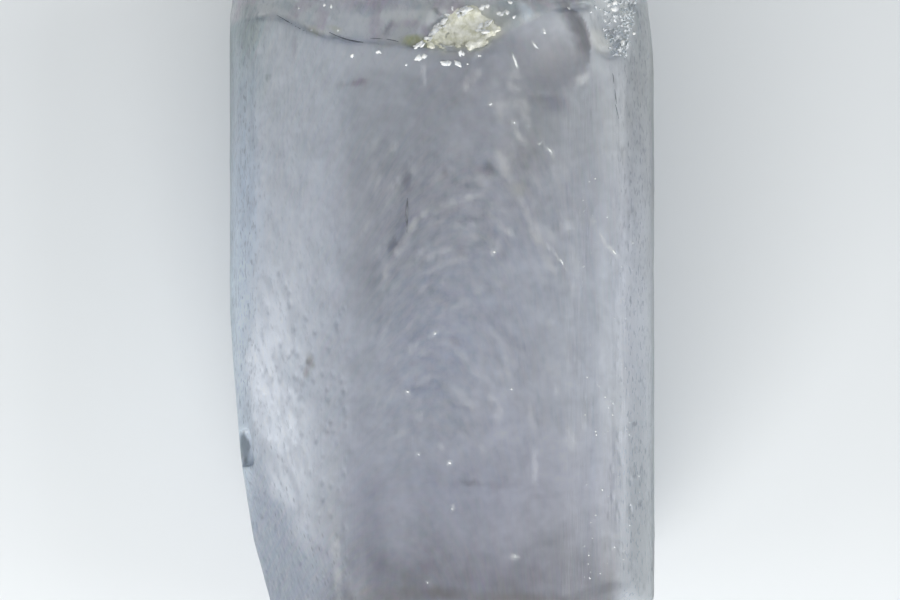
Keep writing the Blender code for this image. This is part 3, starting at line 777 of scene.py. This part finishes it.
# paints the zones and marks on the crystal's points, and how hazy and how dull it is there
def paintCrystal(piece):
    place, _ = coordinates(piece)
    plainX, plainY, z = place.T
    up = smoothRise(z, *zones["upper"])
    make = zones["wander"]
    wander = [clouds(place, make["size"], 3, shift) for shift in (10.0, 30.0)]
    x, y = plainX + wander[0] * make["x"], plainY + wander[1] * make["y"]
    make = zones["shake"]
    shaky = [clouds(place, make["size"], 2, shift) for shift in (50.0, 70.0)]
    markX, markY = plainX + shaky[0] * make["reach"], plainY + shaky[1] * make["reach"]

    stripX = plainX + wander[0] * zones["stripStray"] - zones["stripLean"] * y
    across = np.where(np.abs(plainX) > zones["straight"], plainX, x)
    colour = atStops(across, [(position, screenColour(*shade)) for position, shade in tones["across"]])
    factor = atStops(y, tones["alongFront"])
    factor = paint(factor, smoothRise(x, *zones["left"]), atStops(y, tones["alongLeft"]))
    factor = paint(factor, smoothRise(stripX, *zones["strip"]), atStops(y, tones["alongStrip"]))
    factor = paint(factor, smoothRise(plainX, *zones["right"]), atStops(y, tones["alongRight"]))
    mottles = (strength * clouds(place, *made)[:, None] for strength, *made in zones["mottles"])
    factor *= sum(mottles, 1)
    colour *= factor ** 2.2
    colour, hazy = paintVeil(colour, place, y, wander[0], up)

    # the broken end, mottled with warmer and cooler greys
    past = smoothRise(plainY - ledgeLine(plainX), *zones["broken"])
    colour = paint(colour, past, tones["brokenEnd"])
    for tone, size, shift in zones["brokenMottles"]:
        cover = 0.7 * past * smoothRise(clouds(place, size, 4, shift), 0.0, 0.5)
        colour = paint(colour, cover, tones[tone])
    flank = smoothRise(x, *zones["flank"])
    hazy = np.maximum(hazy, np.maximum(flank * zones["flankHaze"], past * zones["brokenHaze"]))

    colour, hazy = paintFeathers(colour, hazy, markX, markY, up)
    for *spot, soft, shade, share in marks.values():
        tint = screenColour(*shade)
        cover = share * up * smoothRise(ellipse(markX, markY, *spot), 1 + soft, 1 - soft)
        colour = paint(colour, cover, tint)
        if min(tint) > milkyTint:
            hazy = np.maximum(hazy, cover)
    patchy = 0.25 + smoothRise(clouds(place, 0.22, 3, 90.0), -0.35, 0.35)
    covers = [
        share * patchy * up * smoothRise(ellipse(markX, markY, *strokeEllipse(*line)), 1.8, 0.2)
        for *line, share in wisps
        if share < sharpWisps["from"]
    ]
    # painted glow: a soft milky halo round each fleck's glint
    for centreX, centreY, size in glints["flecks"]:
        distance = ellipse(markX, markY, centreX, centreY, (size * 0.8, size * 0.6))
        covers.append(0.5 * up * smoothRise(distance, 1.4, 0.4))
    for cover in covers:
        colour = paint(colour, cover, tones["milk"])
        hazy = np.maximum(hazy, cover)
    colour, hazy, dull = paintChip(colour, hazy, place, markX, markY, up)

    tint = piece.data.color_attributes.new("tint", "FLOAT_COLOR", "POINT")
    tint.data.foreach_set("color", np.column_stack([colour, np.ones(len(x))]).astype(np.float32).ravel())
    for name, values in (("haze", hazy), ("dull", dull)):
        attribute = piece.data.attributes.new(name, "FLOAT", "POINT")
        attribute.data.foreach_set("value", values.astype(np.float32))


def ledgeLine(x):
    points = np.array(body["ledge"])
    return np.interp(x, points[:, 0], points[:, 1])


# how much each wear and dent takes at the crystal's points
def crystalZones(piece):
    place, normal = coordinates(piece)
    x, y, z = place.T
    inner, reach = insideChip(place)
    pastLedge = y - ledgeLine(x)
    left, right = smoothRise(-normal[:, 0], 0.2, 0.5), smoothRise(normal[:, 0], 0.35, 0.8)
    end, top = smoothRise(normal[:, 1], 0.35, 0.7), smoothRise(normal[:, 2], 0.3, 0.6)
    broken = np.maximum(end, smoothRise(pastLedge, 0.1, 0.5))
    standing = smoothRise(z, 0.10, 0.5)  # the face that it rests on stays flat
    whole = smoothRise(reach, 1.0, 1.25) * smoothRise(ellipse(x, y, *body["nick"]), 0.7, 1.2)
    around = smoothRise(0.55 - np.abs(normal[:, 1]), 0.0, 0.25) * standing
    make = body["crease"]
    crease = smoothRise(np.abs(x - make["x"]) / make["reach"], 1.0, 0.5) * smoothRise(z, 3.0, 4.2)
    make = body["foot"]
    foot = smoothRise(x, *make["x"]) * smoothRise(y, *make["y"]) * smoothRise(z, *make["z"])
    calm = smoothRise(x, *body["calm"]["x"]) * smoothRise(z, 3.2, 3.8)
    patch = smoothRise(ellipse(x, y, *granules["centre"], (0.80, 1.0)), 1.1, 0.7)
    fading = smoothRise(reach, 1.55, 1.2) * smoothRise(inner[:, 0], 0.70, 0.30)
    return {
        "around": around * whole,
        "crease": crease * around * smoothRise(pastLedge, -0.1, -0.5),
        "fading": fading * smoothRise(z, 4.6, 5.0),
        "calm": np.maximum(calm * around, foot),
        "patch": patch * smoothRise(z, 4.0, 4.6),
        "chip": smoothRise(reach, 1.08, 1.0),
        # the upper side and the broken end keep their fine faces
        "coarse": 1 - np.maximum(top, 0.7 * end) * standing,
        "swell": standing,
        "striation": around * (0.25 + 0.75 * np.maximum(left, right)),
        "pit": around * np.maximum(left * smoothRise(-y, -2.5, 1.0), right),
        "fracture": broken * standing * smoothRise(reach, 1.05, 1.2),
        "splinters": end * standing * smoothRise(y, 4.6, 5.3),
    }


def makeCrystal():
    piece = bpy.data.objects.new("crystal_body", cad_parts[node].data.copy())
    bpy.context.scene.collection.objects.link(piece)
    resizeMesh(piece, 1 / millimetre)
    bpy.ops.object.mode_set(mode="EDIT")
    bpy.ops.mesh.select_all(action="SELECT")
    bpy.ops.mesh.remove_doubles(threshold=0.0005)
    bpy.ops.object.mode_set(mode="OBJECT")
    finishModifier(piece, "REMESH", mode="VOXEL", voxel_size=body["voxel"])
    print("crystal body remeshed:", len(piece.data.polygons), "faces")
    for name, weights in crystalZones(piece).items():
        weigh(piece, name, weights)
    wear = {
        "around": body["wear"],
        "crease": body["crease"]["wear"],
        "fading": chip["wear"],
        "calm": body["calm"]["wear"],
        "patch": granules["wear"],
        "chip": chip["floorWear"],
    }
    for name, often in wear.items():
        finishModifier(piece, "SMOOTH", factor=0.5, iterations=often, vertex_group=name)
    for name, kind, stretch, depth, settings in body["dents"]:
        dent(piece, kind, stretch, depth, name, **settings)
    print("crystal body worn and dented")
    triangles = sum(len(face.vertices) - 2 for face in piece.data.polygons)
    ratio = min(1.0, body["triangles"] / triangles)
    finishModifier(piece, "DECIMATE", ratio=ratio, vertex_group="coarse", vertex_group_factor=1.0)
    piece.vertex_groups.clear()
    paintCrystal(piece)
    finishPiece(piece, makeCrystalMaterial())
    bpy.ops.object.shade_smooth()
    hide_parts(node)
    return piece


# the point of the upper surface above x, y, in millimetres, and the surface's normal there
def onSurface(crystal, x, y):
    start = Vector((x, y, 12.0)) * millimetre
    _, place, normal, _ = crystal.ray_cast(start, Vector((0, 0, -1)))
    return place / millimetre, normal


stoneLook = {"band": (0.34, 0.66), "ior": 1.6, "bump": {"Strength": 0.5, "Distance": 0.00001}}


# two colours in patches of that size, with a fine bump
def makeStoneMaterial(name, shades, size, roughness, bumpSize):
    material = bpy.data.materials.new(name)
    material.use_nodes = True
    tree = material.node_tree
    shader = tree.nodes["Principled BSDF"]
    place = objectPlace(tree)
    tone = rise(tree, noise(tree, place, size, 4.0, 0.6).outputs["Fac"], *stoneLook["band"])
    tree.links.new(blendColour(tree, tone, *shades), shader.inputs["Base Color"])
    height = noise(tree, place, bumpSize, 3.0).outputs["Fac"]
    bump = addNode(tree, "Bump", {"Height": height, **stoneLook["bump"]})
    tree.links.new(bump.outputs["Normal"], shader.inputs["Normal"])
    shader.inputs["Roughness"].default_value = roughness
    shader.inputs["IOR"].default_value = stoneLook["ior"]
    return material


# one small broken grain at the origin, about 1 across
def makeGrain(seed, subdivisions, ragged):
    deselectEverything()
    bpy.ops.mesh.primitive_ico_sphere_add(subdivisions=subdivisions, radius=0.5, location=(0, 0, 0))
    grain = bpy.context.object
    bpy.ops.object.mode_set(mode="EDIT")
    bpy.ops.mesh.select_all(action="SELECT")
    bpy.ops.transform.vertex_random(offset=ragged, uniform=0.6, normal=0.4, seed=seed)
    bpy.ops.object.mode_set(mode="OBJECT")
    return grain


# copies of the grains, one at each (x, y, size, sink): turned every way, or flatter and nearly level,
# and then also pointing nearly one way if they have a heading
def scatterGrains(crystal, grains, spots, draw, drawnOut=1.25, flat=1.0, heading=None):
    made = []
    lean = math.pi if flat == 1.0 else 0.3
    for x, y, size, sink in spots:
        place, normal = onSurface(crystal, x, y)
        grain = copyPiece(draw.choice(grains))
        grain.location = place - normal * size * sink
        turn = draw.uniform(-math.pi, math.pi) if heading is None else draw.uniform(-0.5, 0.5) + heading
        grain.rotation_euler = (draw.uniform(-lean, lean), draw.uniform(-lean, lean), turn)
        grain.scale = (size * draw.uniform(0.8, drawnOut), size * draw.uniform(0.6, 1.0) * flat, size * flat)
        made.append(grain)
    return made


# joins the grains under a name, and removes the ones that they were copied from
def joinGrains(made, grains, name):
    piece = joinPieces(made, name)
    for grain in grains:
        bpy.data.objects.remove(grain)
    return piece


# a point at random on the straight line from start to end, and strayed by so much
def strayPoint(draw, start, end, strayX, strayY):
    spot = Vector(start).lerp(Vector(end), draw.random())
    return spot + Vector((draw.uniform(*strayX), draw.uniform(*strayY)))


crust = {
    # corners of its outline, and the triangles that the lumps fill
    "left": (-0.40, 4.42),
    "top": (0.14, 4.98),
    "highest": (0.52, 5.12),
    "far": (0.98, 4.72),
    "low": (0.66, 4.42),
    "triangles": (("left", "top", "low"), ("top", "highest", "low"), ("highest", "far", "low")),
    "lumps": 270,
    "size": (0.12, 0.22),
    "sink": (0.26, 0.46),
    "voxel": 0.016,
    "wear": 12,
    "nubs": {"size": 0.05, "depth": 0.018},
    "seed": 4,
    "stone": {
        "name": "crusty iron stain", "size": 0.14, "roughness": 0.40, "bumpSize": 0.03,
        "shades": (screenColour(222, 221, 198), screenColour(252, 251, 240)),
    },
    "green": screenColour(184, 184, 106),
    "greenEnd": (-0.16, -0.42),  # from x to x, the stain turns greener
}


def makeCrustMaterial():
    material = makeStoneMaterial(**crust["stone"])
    tree = material.node_tree
    base = tree.nodes["Principled BSDF"].inputs["Base Color"]
    x = axes(tree, objectPlace(tree))[0]
    greener = blendColour(tree, rise(tree, x, *crust["greenEnd"]), base.links[0].from_socket, crust["green"])
    tree.links.new(greener, base)
    return material


def makeCrust(crystal):
    draw = random.Random(crust["seed"])
    grains = [makeGrain(seed, 2, 0.12) for seed in range(3)]
    spots = []
    for number in range(crust["lumps"]):
        first, second, third = (Vector(crust[corner]) for corner in crust["triangles"][number % 3])
        share, side = draw.random(), draw.random()
        if share + side > 1:
            share, side = 1 - share, 1 - side
        spot = first + (second - first) * share + (third - first) * side
        spots.append((spot.x, spot.y, draw.uniform(*crust["size"]), draw.uniform(*crust["sink"])))
    piece = joinGrains(scatterGrains(crystal, grains, spots, draw), grains, "iron_crust")
    finishModifier(piece, "REMESH", mode="VOXEL", voxel_size=crust["voxel"])
    finishModifier(piece, "SMOOTH", factor=0.5, iterations=crust["wear"])
    nubs = crust["nubs"]
    dent(piece, "CLOUDS", (nubs["size"],) * 3, nubs["depth"], noise_depth=2)
    finishModifier(piece, "DECIMATE", ratio=0.5)
    finishPiece(piece, makeCrustMaterial())


glints = {
    # x, y and size of the bright chips beside the ledge and of the flecks in the crystal: white grains that
    # stand in for sparkling reflections, as painted glints
    "chips": (
        (-1.55, 4.27, 0.10), (-1.10, 4.32, 0.12), (-0.61, 4.11, 0.06), (-0.40, 4.24, 0.14),
        (-0.31, 4.25, 0.13), (0.06, 4.12, 0.13), (0.12, 4.13, 0.12), (0.29, 4.12, 0.14),
        (0.33, 4.30, 0.11), (0.38, 4.29, 0.08), (0.45, 4.11, 0.06), (0.66, 4.26, 0.06),
        (-2.05, 5.16, 0.07), (-1.93, 5.15, 0.08), (-2.27, 4.72, 0.07), (-1.80, 4.71, 0.06),
        (1.03, 5.01, 0.15), (1.14, 5.02, 0.13), (1.27, 4.94, 0.10), (1.20, 5.20, 0.10),
        (0.72, 5.12, 0.12), (0.80, 5.13, 0.10), (2.22, 5.09, 0.08), (2.61, 5.03, 0.06),
        (2.86, 4.88, 0.05), (3.03, 5.20, 0.16), (3.02, 5.09, 0.15), (3.16, 4.50, 0.12),
        (3.36, 4.66, 0.09), (3.12, 4.36, 0.07), (3.22, 5.00, 0.09), (2.92, 5.16, 0.10),
        (0.10, 4.98, 0.10), (0.19, 5.09, 0.08), (-2.50, 5.12, 0.04),
    ),
    "flecks": (
        (0.85, 3.42, 0.08), (1.27, 3.09, 0.07), (1.71, 2.72, 0.05), (0.92, 0.84, 0.08),
        (2.80, 1.11, 0.04), (3.35, 1.00, 0.06), (-0.11, -0.58, 0.06), (-0.59, -1.60, 0.07),
        (1.22, -1.56, 0.06), (0.15, -2.83, 0.08), (-0.40, -2.70, 0.05), (0.18, -3.63, 0.05),
        (1.29, -4.46, 0.09), (3.03, -4.32, 0.04), (-0.25, -4.93, 0.05),
    ),
    # the slivers are white painted glints as well
    "slivers": (  # x, y, length, width, turn in degrees
        (1.28, 4.17, 0.30, 0.050, -72), (1.63, 4.45, 0.16, 0.045, -45), (1.80, 4.68, 0.10, 0.040, -60),
        (1.88, 2.62, 0.12, 0.030, -50), (2.09, 0.68, 0.14, 0.026, -58), (3.00, 0.86, 0.14, 0.030, -48),
        (-0.38, 4.25, 0.24, 0.11, 12), (-0.17, 4.65, 0.26, 0.09, 38), (0.03, 4.87, 0.18, 0.08, 42),
        (0.45, 5.06, 0.22, 0.08, 15), (1.08, 5.01, 0.22, 0.10, 4),
    ),
    "onCrust": {"x": 0.9, "y": 4.4, "lift": 0.08},  # left of this x and past this y a sliver is lifted
    "sliverSink": 0.12,  # of its width
    "sink": {"chips": 0.1, "flecks": 0.2},
    # the grains on the crust's rim and inside its outline are painted glints where the crust sparkles
    "rim": {"count": 40, "size": (0.06, 0.11), "sink": -0.5},  # on the upper rim of the crust
    "inner": {"count": 12, "size": (0.06, 0.12), "sink": -0.5, "from": (0.62, 4.72), "to": (0.90, 4.82)},
    "heading": 0.5,  # the way that the chips on the crust point, in radians
    "dust": {"count": 90, "x": (2.4, 3.5), "y": (-4.9, 2.2), "size": (0.020, 0.042)},
    "seed": 9,
    "stone": {
        "name": "bright chips and painted glints", "size": 0.05, "roughness": 0.34, "bumpSize": 0.02,
        "shades": (screenColour(226, 230, 234), screenColour(255, 255, 250)),
    },
}


def makeGlints(crystal):
    draw = random.Random(glints["seed"])
    grains = [makeGrain(*grain) for grain in ((0, 2, 0.15), (1, 2, 0.15), (2, 1, 0.30), (3, 1, 0.30))]
    sink = glints["sink"]
    chips = [(x, y, size, sink["chips"]) for x, y, size in glints["chips"]]
    flecks = [(x, y, size * 0.8, sink["flecks"]) for x, y, size in glints["flecks"]]
    spots = []
    rim, inner, dust = glints["rim"], glints["inner"], glints["dust"]
    edges = (("left", "top"), ("left", "top"), ("top", "highest"))
    for number in range(rim["count"]):
        start, end = (crust[corner] for corner in edges[number % 3])
        spot = strayPoint(draw, start, end, (-0.05, 0.07), (-0.07, 0.05))
        spots.append((spot.x, spot.y, draw.uniform(*rim["size"]), rim["sink"]))
    for _ in range(inner["count"]):
        spot = strayPoint(draw, inner["from"], inner["to"], (-0.05, 0.05), (-0.14, 0.14))
        spots.append((spot.x, spot.y, draw.uniform(*inner["size"]), inner["sink"]))
    lying = scatterGrains(crystal, grains, spots, draw, 1.6, 0.7, glints["heading"])
    for _ in range(dust["count"]):
        spot = (draw.uniform(*dust["x"]), draw.uniform(*dust["y"]), draw.uniform(*dust["size"]))
        flecks.append((*spot, sink["flecks"]))
    lying += scatterGrains(crystal, grains, chips + flecks, draw, 1.3, 0.8)
    edge = glints["onCrust"]
    for x, y, length, width, turn in glints["slivers"]:
        place, normal = onSurface(crystal, x, y)
        sliver = copyPiece(draw.choice(grains))
        onCrust = x < edge["x"] and y > edge["y"]
        sliver.location = place + normal * (edge["lift"] if onCrust else -width * glints["sliverSink"])
        sliver.rotation_euler = (0.0, 0.0, math.radians(turn))
        sliver.scale = (length, width, width * 0.6)
        lying.append(sliver)
    # all these white grains are painted glints
    piece = joinGrains(lying, grains, "glint_chips")
    finishPiece(piece, makeStoneMaterial(**glints["stone"]))
    pick(piece)
    bpy.ops.object.shade_smooth()


granules = {
    "wear": 160,  # how often the hollow that they lie in is smoothed
    "centre": (3.02, 4.86),
    "reach": (0.44, 0.60),
    "count": 440,
    "size": (0.03, 0.080),
    "seed": 21,
    "sink": (0.0, 0.4),
    "narrowest": 0.30,  # the patch's width at its foot, as a share of the width at its top
    "drift": 0.25,  # how far it leans to the right as it narrows
    "stone": {
        "name": "silvery granules", "size": 0.06, "roughness": 0.16, "bumpSize": 0.02,
        "shades": (screenColour(150, 163, 170), screenColour(250, 252, 254)),
    },
}


def makeGranules(crystal):
    draw = random.Random(granules["seed"])
    grains = [makeGrain(seed, 1, 0.30) for seed in range(10, 14)]
    spots = []
    while len(spots) < granules["count"]:
        along, across = draw.uniform(-1, 1), draw.uniform(-1, 1)
        width = granules["narrowest"] + (1 - granules["narrowest"]) * (along + 1) / 2
        if abs(across) < width and draw.random() < 0.65 + 0.5 * across:  # sparser on the left
            x = granules["centre"][0] + (across + granules["drift"] * (1 - width)) * granules["reach"][0]
            y = granules["centre"][1] + along * granules["reach"][1]
            spots.append((x, y, draw.uniform(*granules["size"]), draw.uniform(*granules["sink"])))
    piece = joinGrains(scatterGrains(crystal, grains, spots, draw), grains, "silvery_granules")
    finishPiece(piece, makeStoneMaterial(**granules["stone"]))


threads = {
    # half width, depth under the surface, points along it
    # the three crack lines are dark partly from the crack itself and partly as painted shade under the small
    # step at the ledge
    "crack_seam_and_shade_left": (
        0.009, 0.0, (-2.89, 5.00), (-2.72, 4.90), (-2.60, 4.82), (-2.50, 4.75), (-2.36, 4.70),
    ),
    "crack_seam_and_shade_middle": (
        0.016, 0.0, (-1.96, 4.68), (-1.80, 4.60), (-1.68, 4.53), (-1.42, 4.50), (-1.10, 4.46),
    ),
    "crack_seam_and_shade_right": (
        0.009, 0.0, (-1.25, 4.57), (-1.00, 4.56), (-0.85, 4.55), (-0.72, 4.50), (-0.62, 4.46),
    ),
    "needle": (0.026, 0.002, (-0.59, 1.78), (-0.60, 1.62), (-0.61, 1.48), (-0.60, 1.34), (-0.60, 1.16)),
    "striae_dirt_upper": (0.010, 0.0, (2.99, 3.96), (3.00, 3.92), (3.00, 3.88), (3.01, 3.82), (3.01, 3.78)),
    "striae_dirt_middle": (0.011, 0.0, (3.03, 3.69), (3.03, 3.62), (3.04, 3.56), (3.05, 3.49), (3.06, 3.42)),
    "striae_dirt_lower": (0.010, 0.0, (3.04, 3.42), (3.05, 3.36), (3.07, 3.30), (3.08, 3.23), (3.10, 3.16)),
}
threadLook = {
    "thickness": (0.25, 0.8, 1.0, 0.7, 0.15),  # at the five points, as a share of the half width
    "stone": {
        "name": "dark seam and shade", "size": 0.2, "roughness": 0.75, "bumpSize": 0.03,
        "shades": (screenColour(78, 82, 90), screenColour(126, 130, 136)),
    },
}


# a thread through five points of the crystal, thin at its ends
def makeThread(crystal, name, halfWidth, depth, *points):
    deselectEverything()
    bpy.ops.curve.primitive_nurbs_path_add(radius=1.0, location=(0, 0, 0))
    line = bpy.context.object
    line.name = name
    for point, (x, y), thick in zip(line.data.splines[0].points, points, threadLook["thickness"]):
        place, normal = onSurface(crystal, x, y)
        point.co = (*(place - normal * depth), 1.0)
        point.radius = thick
    line.data.bevel_depth = halfWidth
    line.data.bevel_resolution = 1
    line.data.resolution_u = 6
    line.data.use_fill_caps = True
    bpy.ops.object.convert(target="MESH")
    return bpy.context.object


def makeThreads(crystal):
    # the needle and the striae are dark lines of the crystal, and the crack lines also carry painted shade
    made = [makeThread(crystal, name, *thread) for name, thread in threads.items()]
    piece = joinPieces(made, "dark_seams_and_shade")
    finishPiece(piece, makeStoneMaterial(**threadLook["stone"]))


bpy.context.scene.view_settings.view_transform = "Standard"
makeCamera()
makeFloor()
makeLight()
crystal = makeCrystal()
makeCrust(crystal)
makeGlints(crystal)
makeGranules(crystal)
makeThreads(crystal)
